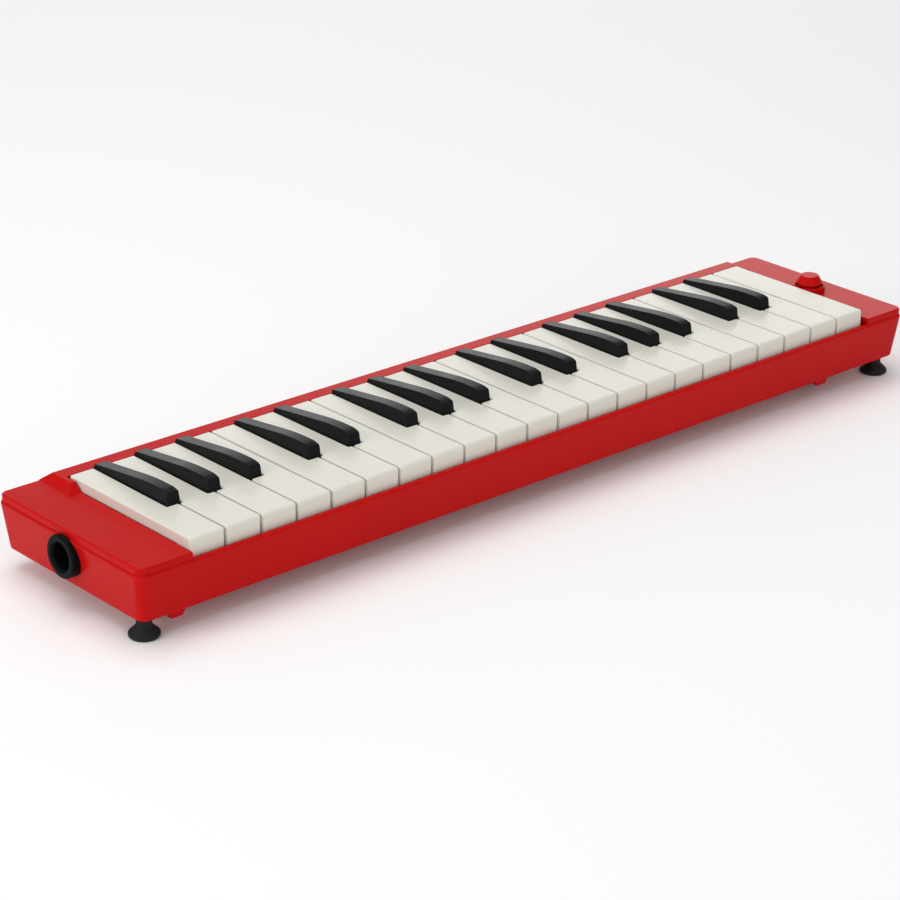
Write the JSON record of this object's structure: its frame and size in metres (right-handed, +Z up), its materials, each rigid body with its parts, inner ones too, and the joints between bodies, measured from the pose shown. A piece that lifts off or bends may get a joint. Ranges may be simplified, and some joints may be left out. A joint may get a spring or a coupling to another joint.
{
  "type": "melodica",
  "caption": "Free-reed keyboard wind instrument: long drafted two-part case on rubber feet, piano-style keys on levers, mouthpiece socket at the bass end and a drain button.",
  "frame": {"origin": "centre of the whole instrument's box, in the plane of the feet's undersides", "axes": "+X to the treble end, +Y to the rear rail, +Z up"},
  "size_m": [0.4864, 0.1058, 0.0472],
  "materials": {
    "red_plastic": "glossy moulded ABS with a soft high polish",
    "ivory_plastic": "warm white moulded plastic, softly glossy",
    "black_key_plastic": "satin black moulded plastic",
    "socket_black": "satin black moulded plastic",
    "rubber": "matt black rubber",
    "grey_plastic": "plain grey moulding",
    "felt": "pressed wool felt",
    "silicone": "soft pale silicone",
    "reed_brass": "milled brass",
    "steel": "drawn and ground steel"
  },
  "bodies": {
    "case": {"lower_case": "red_plastic", "upper_case": "red_plastic", "hinge_rod": "steel", "key_spring_comb": "steel", "key_stop_felt": "felt", "pallet_seal": "silicone", "wind_chest": "grey_plastic", "wind_chest_cover": "grey_plastic", "cover_gasket": "silicone", "reed_plate_bass": "reed_brass", "reed_plate_treble": "reed_brass", "mouthpiece_socket": "socket_black", "drain_spring": "steel", "foot_front_left": "rubber", "foot_front_right": "rubber", "foot_rear_left": "rubber", "foot_rear_right": "rubber", "case_screw_1": "steel", "case_screw_2": "steel", "case_screw_3": "steel", "case_screw_4": "steel"},
    "drain_button": {"drain_button": "red_plastic", "drain_valve": "rubber"},
    "white_key_01": {"white_key_01": "ivory_plastic"},
    "black_key_01": {"black_key_01": "black_key_plastic"},
    "white_key_02": {"white_key_02": "ivory_plastic"},
    "black_key_02": {"black_key_02": "black_key_plastic"},
    "white_key_03": {"white_key_03": "ivory_plastic"},
    "black_key_03": {"black_key_03": "black_key_plastic"},
    "white_key_04": {"white_key_04": "ivory_plastic"},
    "white_key_05": {"white_key_05": "ivory_plastic"},
    "black_key_04": {"black_key_04": "black_key_plastic"},
    "white_key_06": {"white_key_06": "ivory_plastic"},
    "black_key_05": {"black_key_05": "black_key_plastic"},
    "white_key_07": {"white_key_07": "ivory_plastic"},
    "white_key_08": {"white_key_08": "ivory_plastic"},
    "black_key_06": {"black_key_06": "black_key_plastic"},
    "white_key_09": {"white_key_09": "ivory_plastic"},
    "black_key_07": {"black_key_07": "black_key_plastic"},
    "white_key_10": {"white_key_10": "ivory_plastic"},
    "black_key_08": {"black_key_08": "black_key_plastic"},
    "white_key_11": {"white_key_11": "ivory_plastic"},
    "white_key_12": {"white_key_12": "ivory_plastic"},
    "black_key_09": {"black_key_09": "black_key_plastic"},
    "white_key_13": {"white_key_13": "ivory_plastic"},
    "black_key_10": {"black_key_10": "black_key_plastic"},
    "white_key_14": {"white_key_14": "ivory_plastic"},
    "white_key_15": {"white_key_15": "ivory_plastic"},
    "black_key_11": {"black_key_11": "black_key_plastic"},
    "white_key_16": {"white_key_16": "ivory_plastic"},
    "black_key_12": {"black_key_12": "black_key_plastic"},
    "white_key_17": {"white_key_17": "ivory_plastic"},
    "black_key_13": {"black_key_13": "black_key_plastic"},
    "white_key_18": {"white_key_18": "ivory_plastic"},
    "white_key_19": {"white_key_19": "ivory_plastic"},
    "black_key_14": {"black_key_14": "black_key_plastic"},
    "white_key_20": {"white_key_20": "ivory_plastic"},
    "black_key_15": {"black_key_15": "black_key_plastic"},
    "white_key_21": {"white_key_21": "ivory_plastic"},
    "white_key_22": {"white_key_22": "ivory_plastic"}
  },
  "joints": [
    {"name": "white_key_01_press", "type": "hinge", "parent": "case", "child": "white_key_01", "pos_m": [-0.20529, 0.018, 0.0334], "axis": [1, 0, 0], "range_deg": [0, 3.6], "stiffness_Nm_per_rad": 0.3, "springref_deg": -5.73},
    {"name": "black_key_01_press", "type": "hinge", "parent": "case", "child": "black_key_01", "pos_m": [-0.19478, 0.018, 0.0334], "axis": [1, 0, 0], "range_deg": [0, 4.3], "stiffness_Nm_per_rad": 0.3, "springref_deg": -5.73},
    {"name": "white_key_02_press", "type": "hinge", "parent": "case", "child": "white_key_02", "pos_m": [-0.18382, 0.018, 0.0334], "axis": [1, 0, 0], "range_deg": [0, 3.6], "stiffness_Nm_per_rad": 0.3, "springref_deg": -5.73},
    {"name": "black_key_02_press", "type": "hinge", "parent": "case", "child": "black_key_02", "pos_m": [-0.17286, 0.018, 0.0334], "axis": [1, 0, 0], "range_deg": [0, 4.3], "stiffness_Nm_per_rad": 0.3, "springref_deg": -5.73},
    {"name": "white_key_03_press", "type": "hinge", "parent": "case", "child": "white_key_03", "pos_m": [-0.16161, 0.018, 0.0334], "axis": [1, 0, 0], "range_deg": [0, 3.6], "stiffness_Nm_per_rad": 0.3, "springref_deg": -5.73},
    {"name": "black_key_03_press", "type": "hinge", "parent": "case", "child": "black_key_03", "pos_m": [-0.15036, 0.018, 0.0334], "axis": [1, 0, 0], "range_deg": [0, 4.3], "stiffness_Nm_per_rad": 0.3, "springref_deg": -5.73},
    {"name": "white_key_04_press", "type": "hinge", "parent": "case", "child": "white_key_04", "pos_m": [-0.14053, 0.018, 0.0334], "axis": [1, 0, 0], "range_deg": [0, 3.6], "stiffness_Nm_per_rad": 0.3, "springref_deg": -5.73},
    {"name": "white_key_05_press", "type": "hinge", "parent": "case", "child": "white_key_05", "pos_m": [-0.1275, 0.018, 0.0334], "axis": [1, 0, 0], "range_deg": [0, 3.6], "stiffness_Nm_per_rad": 0.3, "springref_deg": -5.73},
    {"name": "black_key_04_press", "type": "hinge", "parent": "case", "child": "black_key_04", "pos_m": [-0.1168, 0.018, 0.0334], "axis": [1, 0, 0], "range_deg": [0, 4.3], "stiffness_Nm_per_rad": 0.3, "springref_deg": -5.73},
    {"name": "white_key_06_press", "type": "hinge", "parent": "case", "child": "white_key_06", "pos_m": [-0.10525, 0.018, 0.0334], "axis": [1, 0, 0], "range_deg": [0, 3.6], "stiffness_Nm_per_rad": 0.3, "springref_deg": -5.73},
    {"name": "black_key_05_press", "type": "hinge", "parent": "case", "child": "black_key_05", "pos_m": [-0.09371, 0.018, 0.0334], "axis": [1, 0, 0], "range_deg": [0, 4.3], "stiffness_Nm_per_rad": 0.3, "springref_deg": -5.73},
    {"name": "white_key_07_press", "type": "hinge", "parent": "case", "child": "white_key_07", "pos_m": [-0.0831, 0.018, 0.0334], "axis": [1, 0, 0], "range_deg": [0, 3.6], "stiffness_Nm_per_rad": 0.3, "springref_deg": -5.73},
    {"name": "white_key_08_press", "type": "hinge", "parent": "case", "child": "white_key_08", "pos_m": [-0.06949, 0.018, 0.0334], "axis": [1, 0, 0], "range_deg": [0, 3.6], "stiffness_Nm_per_rad": 0.3, "springref_deg": -5.73},
    {"name": "black_key_06_press", "type": "hinge", "parent": "case", "child": "black_key_06", "pos_m": [-0.05898, 0.018, 0.0334], "axis": [1, 0, 0], "range_deg": [0, 4.3], "stiffness_Nm_per_rad": 0.3, "springref_deg": -5.73},
    {"name": "white_key_09_press", "type": "hinge", "parent": "case", "child": "white_key_09", "pos_m": [-0.04802, 0.018, 0.0334], "axis": [1, 0, 0], "range_deg": [0, 3.6], "stiffness_Nm_per_rad": 0.3, "springref_deg": -5.73},
    {"name": "black_key_07_press", "type": "hinge", "parent": "case", "child": "black_key_07", "pos_m": [-0.03706, 0.018, 0.0334], "axis": [1, 0, 0], "range_deg": [0, 4.3], "stiffness_Nm_per_rad": 0.3, "springref_deg": -5.73},
    {"name": "white_key_10_press", "type": "hinge", "parent": "case", "child": "white_key_10", "pos_m": [-0.02581, 0.018, 0.0334], "axis": [1, 0, 0], "range_deg": [0, 3.6], "stiffness_Nm_per_rad": 0.3, "springref_deg": -5.73},
    {"name": "black_key_08_press", "type": "hinge", "parent": "case", "child": "black_key_08", "pos_m": [-0.01456, 0.018, 0.0334], "axis": [1, 0, 0], "range_deg": [0, 4.3], "stiffness_Nm_per_rad": 0.3, "springref_deg": -5.73},
    {"name": "white_key_11_press", "type": "hinge", "parent": "case", "child": "white_key_11", "pos_m": [-0.00473, 0.018, 0.0334], "axis": [1, 0, 0], "range_deg": [0, 3.6], "stiffness_Nm_per_rad": 0.3, "springref_deg": -5.73},
    {"name": "white_key_12_press", "type": "hinge", "parent": "case", "child": "white_key_12", "pos_m": [0.0083, 0.018, 0.0334], "axis": [1, 0, 0], "range_deg": [0, 3.6], "stiffness_Nm_per_rad": 0.3, "springref_deg": -5.73},
    {"name": "black_key_09_press", "type": "hinge", "parent": "case", "child": "black_key_09", "pos_m": [0.019, 0.018, 0.0334], "axis": [1, 0, 0], "range_deg": [0, 4.3], "stiffness_Nm_per_rad": 0.3, "springref_deg": -5.73},
    {"name": "white_key_13_press", "type": "hinge", "parent": "case", "child": "white_key_13", "pos_m": [0.03055, 0.018, 0.0334], "axis": [1, 0, 0], "range_deg": [0, 3.6], "stiffness_Nm_per_rad": 0.3, "springref_deg": -5.73},
    {"name": "black_key_10_press", "type": "hinge", "parent": "case", "child": "black_key_10", "pos_m": [0.04209, 0.018, 0.0334], "axis": [1, 0, 0], "range_deg": [0, 4.3], "stiffness_Nm_per_rad": 0.3, "springref_deg": -5.73},
    {"name": "white_key_14_press", "type": "hinge", "parent": "case", "child": "white_key_14", "pos_m": [0.05269, 0.018, 0.0334], "axis": [1, 0, 0], "range_deg": [0, 3.6], "stiffness_Nm_per_rad": 0.3, "springref_deg": -5.73},
    {"name": "white_key_15_press", "type": "hinge", "parent": "case", "child": "white_key_15", "pos_m": [0.06631, 0.018, 0.0334], "axis": [1, 0, 0], "range_deg": [0, 3.6], "stiffness_Nm_per_rad": 0.3, "springref_deg": -5.73},
    {"name": "black_key_11_press", "type": "hinge", "parent": "case", "child": "black_key_11", "pos_m": [0.07682, 0.018, 0.0334], "axis": [1, 0, 0], "range_deg": [0, 4.3], "stiffness_Nm_per_rad": 0.3, "springref_deg": -5.73},
    {"name": "white_key_16_press", "type": "hinge", "parent": "case", "child": "white_key_16", "pos_m": [0.08778, 0.018, 0.0334], "axis": [1, 0, 0], "range_deg": [0, 3.6], "stiffness_Nm_per_rad": 0.3, "springref_deg": -5.73},
    {"name": "black_key_12_press", "type": "hinge", "parent": "case", "child": "black_key_12", "pos_m": [0.09874, 0.018, 0.0334], "axis": [1, 0, 0], "range_deg": [0, 4.3], "stiffness_Nm_per_rad": 0.3, "springref_deg": -5.73},
    {"name": "white_key_17_press", "type": "hinge", "parent": "case", "child": "white_key_17", "pos_m": [0.10999, 0.018, 0.0334], "axis": [1, 0, 0], "range_deg": [0, 3.6], "stiffness_Nm_per_rad": 0.3, "springref_deg": -5.73},
    {"name": "black_key_13_press", "type": "hinge", "parent": "case", "child": "black_key_13", "pos_m": [0.12124, 0.018, 0.0334], "axis": [1, 0, 0], "range_deg": [0, 4.3], "stiffness_Nm_per_rad": 0.3, "springref_deg": -5.73},
    {"name": "white_key_18_press", "type": "hinge", "parent": "case", "child": "white_key_18", "pos_m": [0.13107, 0.018, 0.0334], "axis": [1, 0, 0], "range_deg": [0, 3.6], "stiffness_Nm_per_rad": 0.3, "springref_deg": -5.73},
    {"name": "white_key_19_press", "type": "hinge", "parent": "case", "child": "white_key_19", "pos_m": [0.1441, 0.018, 0.0334], "axis": [1, 0, 0], "range_deg": [0, 3.6], "stiffness_Nm_per_rad": 0.3, "springref_deg": -5.73},
    {"name": "black_key_14_press", "type": "hinge", "parent": "case", "child": "black_key_14", "pos_m": [0.1548, 0.018, 0.0334], "axis": [1, 0, 0], "range_deg": [0, 4.3], "stiffness_Nm_per_rad": 0.3, "springref_deg": -5.73},
    {"name": "white_key_20_press", "type": "hinge", "parent": "case", "child": "white_key_20", "pos_m": [0.16635, 0.018, 0.0334], "axis": [1, 0, 0], "range_deg": [0, 3.6], "stiffness_Nm_per_rad": 0.3, "springref_deg": -5.73},
    {"name": "black_key_15_press", "type": "hinge", "parent": "case", "child": "black_key_15", "pos_m": [0.17789, 0.018, 0.0334], "axis": [1, 0, 0], "range_deg": [0, 4.3], "stiffness_Nm_per_rad": 0.3, "springref_deg": -5.73},
    {"name": "white_key_21_press", "type": "hinge", "parent": "case", "child": "white_key_21", "pos_m": [0.18849, 0.018, 0.0334], "axis": [1, 0, 0], "range_deg": [0, 3.6], "stiffness_Nm_per_rad": 0.3, "springref_deg": -5.73},
    {"name": "white_key_22_press", "type": "hinge", "parent": "case", "child": "white_key_22", "pos_m": [0.20505, 0.018, 0.0334], "axis": [1, 0, 0], "range_deg": [0, 3.6], "stiffness_Nm_per_rad": 0.3, "springref_deg": -5.73},
    {"name": "drain_button_press", "type": "slide", "parent": "case", "child": "drain_button", "axis": [0, 0, -1], "range_m": [0, 0.0018], "stiffness_N_per_m": 400, "springref_m": -0.003, "deforming": ["drain_spring"]}
  ]
}
